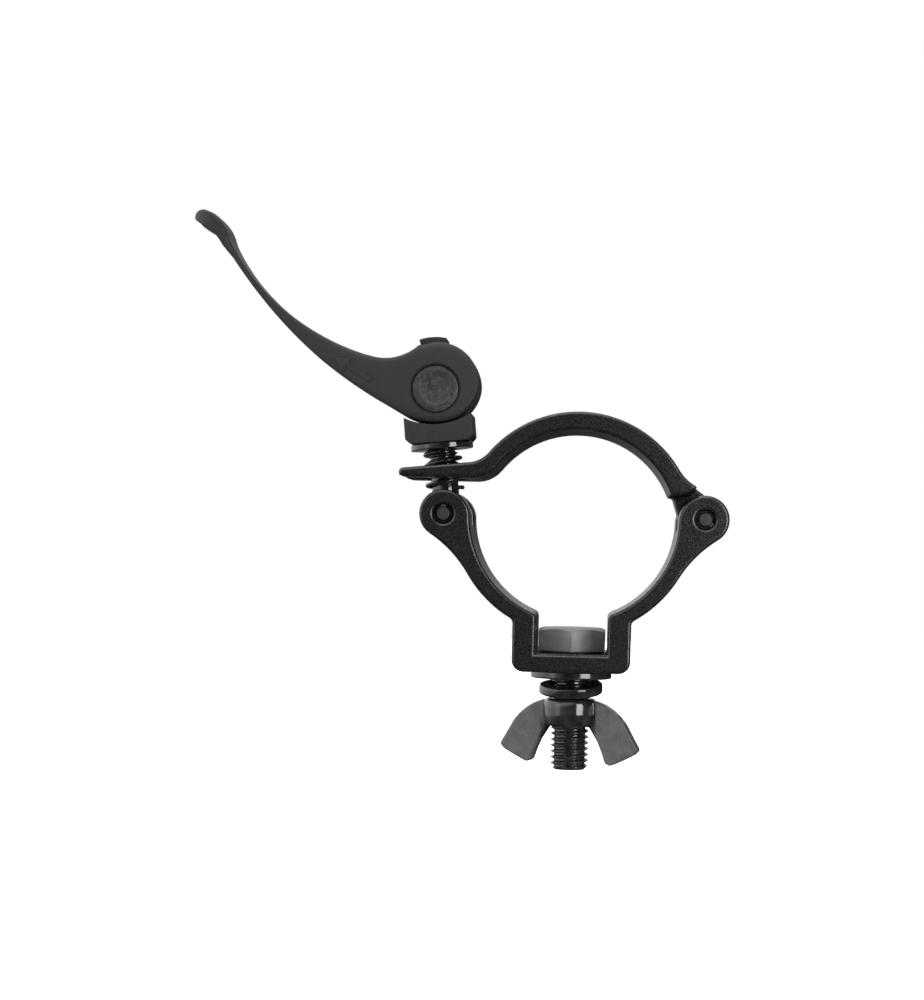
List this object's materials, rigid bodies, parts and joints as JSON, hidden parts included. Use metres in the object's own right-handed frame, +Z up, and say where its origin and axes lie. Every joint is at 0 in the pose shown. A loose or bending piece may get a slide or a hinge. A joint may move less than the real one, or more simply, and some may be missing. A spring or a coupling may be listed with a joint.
{
  "type": "pipe clamp",
  "caption": "Quick-release pipe clamp: a hinged ring closed by a swing bolt and cam lever, with a bolt and wing nut under it for a lamp or bracket.",
  "frame": {"origin": "centre of the tube seat, midway between the two hinge pins and half way along the clamp's width", "axes": "+Y along the tube, +Z up from the mounting bolt towards the jaw, +X towards the jaw's hinge"},
  "size_m": [0.1374, 0.03, 0.1402],
  "materials": {
    "coated_steel": "satin black coating with a fine grain",
    "cast_black": "matte black coating with a fine texture",
    "black_zinc": "glossy black plating",
    "barrel_black": "matte black turned steel",
    "pin_steel": "dark rolled steel",
    "spring_steel": "black spring wire"
  },
  "bodies": {
    "yoke": {"yoke": "coated_steel", "jaw_pin": "pin_steel", "swing_pin": "pin_steel", "hex_bolt": "black_zinc"},
    "jaw": {"upper_jaw": "coated_steel"},
    "swing_bolt": {"swing_bolt": "black_zinc", "return_spring": "spring_steel"},
    "head": {"barrel_nut": "barrel_black"},
    "lever": {"cam_lever": "cast_black"},
    "saddle": {"cam_saddle": "cast_black", "thrust_washer": "black_zinc"},
    "washers": {"flat_washer": "black_zinc", "lock_washer": "black_zinc"},
    "nut": {"wing_nut": "black_zinc"}
  },
  "joints": [
    {"name": "jaw_hinge", "type": "hinge", "parent": "yoke", "child": "jaw", "pos_m": [0.03285, 0, 0], "axis": [0, 1, 0], "range_deg": [-2.2, 3.2]},
    {"name": "bolt_swing", "type": "hinge", "parent": "yoke", "child": "swing_bolt", "pos_m": [-0.03285, 0, 0], "axis": [0, -1, 0], "range_deg": [0, 105]},
    {"name": "head_turn", "type": "hinge", "parent": "swing_bolt", "child": "head", "pos_m": [-0.03285, 0, 0], "axis": [-0.1011, 0, 0.9949], "range_deg": [-180, 180]},
    {"name": "lever_turn", "type": "hinge", "parent": "head", "child": "lever", "pos_m": [-0.03606, 0, 0.03164], "axis": [0, 1, 0], "range_deg": [0, 125]},
    {"name": "saddle_press", "type": "slide", "parent": "head", "child": "saddle", "axis": [0.1011, 0, -0.9949], "range_m": [0, 0.0035], "deforming": ["return_spring"]},
    {"name": "washer_slide", "type": "slide", "parent": "yoke", "child": "washers", "axis": [0, 0, -1], "range_m": [0, 0.0092]},
    {"name": "nut_turn", "type": "hinge", "parent": "washers", "child": "nut", "pos_m": [0, 0, -0.05], "axis": [0, 0, 1], "range_deg": [0, 2160]}
  ],
  "couplings": [
    {"joint": "saddle_press", "follows": "lever_turn", "m_per_rad": 0.0015585},
    {"joint": "washer_slide", "follows": "nut_turn", "m_per_rad": 0.00023873}
  ]
}
